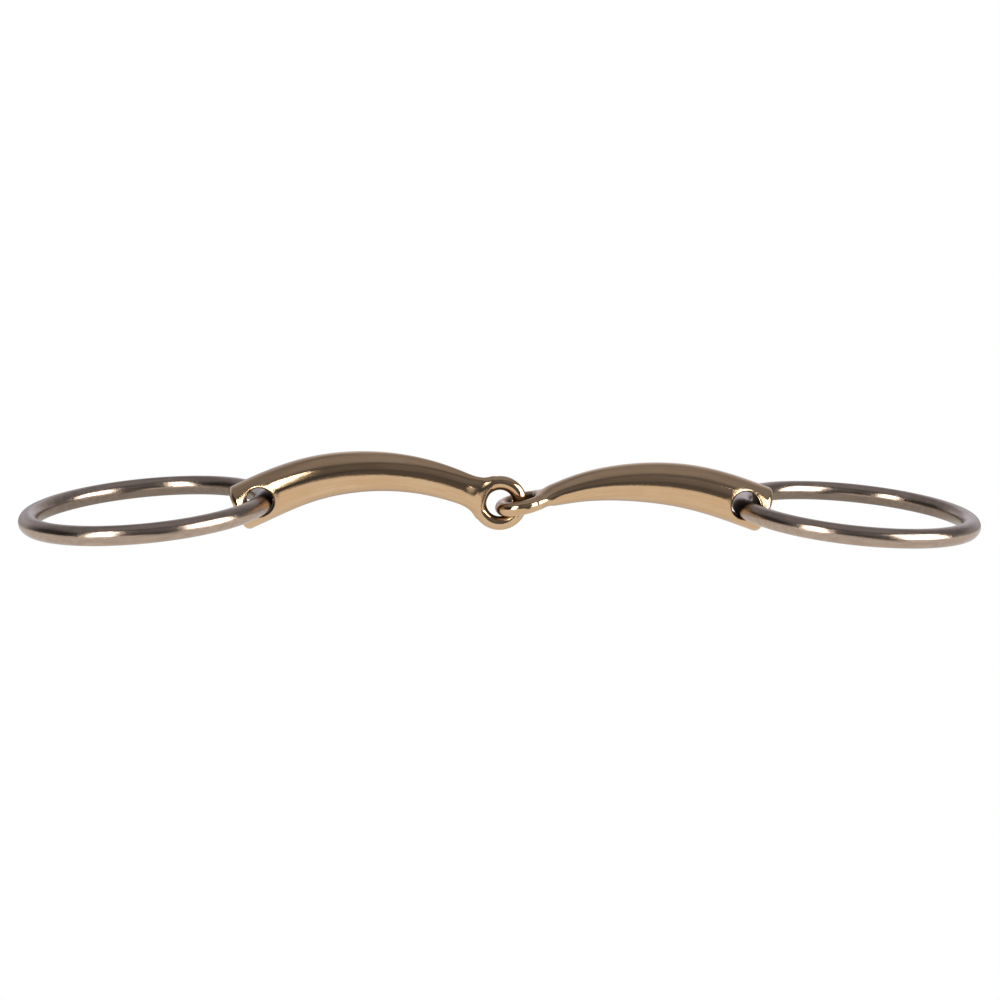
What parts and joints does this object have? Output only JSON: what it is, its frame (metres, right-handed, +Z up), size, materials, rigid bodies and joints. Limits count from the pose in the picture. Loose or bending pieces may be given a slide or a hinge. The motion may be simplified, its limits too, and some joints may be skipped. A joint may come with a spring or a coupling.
{
  "type": "snaffle bit",
  "caption": "Loose-ring, single-jointed snaffle bit with curved golden mouthpiece arms linked eye in eye and round steel rings through their outer ends.",
  "frame": {"origin": "on the surface the bit lies on, under the middle of its bounding box", "axes": "+X along the bit from the left ring to the right ring, +Y away from the front, +Z up from the surface"},
  "size_m": [0.268, 0.07, 0.0221],
  "materials": {
    "golden_alloy": "polished",
    "stainless_steel": "polished"
  },
  "bodies": {
    "left_arm": {"left_arm": "golden_alloy"},
    "right_arm": {"right_arm": "golden_alloy"},
    "left_ring": {"left_ring": "stainless_steel"},
    "right_ring": {"right_ring": "stainless_steel"}
  },
  "joints": [
    {"name": "centre_fold", "type": "hinge", "parent": "left_arm", "child": "right_arm", "pos_m": [-0.0014, 0, 0.00765], "axis": [0, 1, 0], "range_deg": [-80, 90]},
    {"name": "left_ring_swing", "type": "hinge", "parent": "left_arm", "child": "left_ring", "pos_m": [-0.0679, 0, 0.0087], "axis": [0, 1, 0], "range_deg": [-80, 80]},
    {"name": "right_ring_swing", "type": "hinge", "parent": "right_arm", "child": "right_ring", "pos_m": [0.06685, 0, 0.00805], "axis": [0, 1, 0], "range_deg": [-80, 80]}
  ]
}
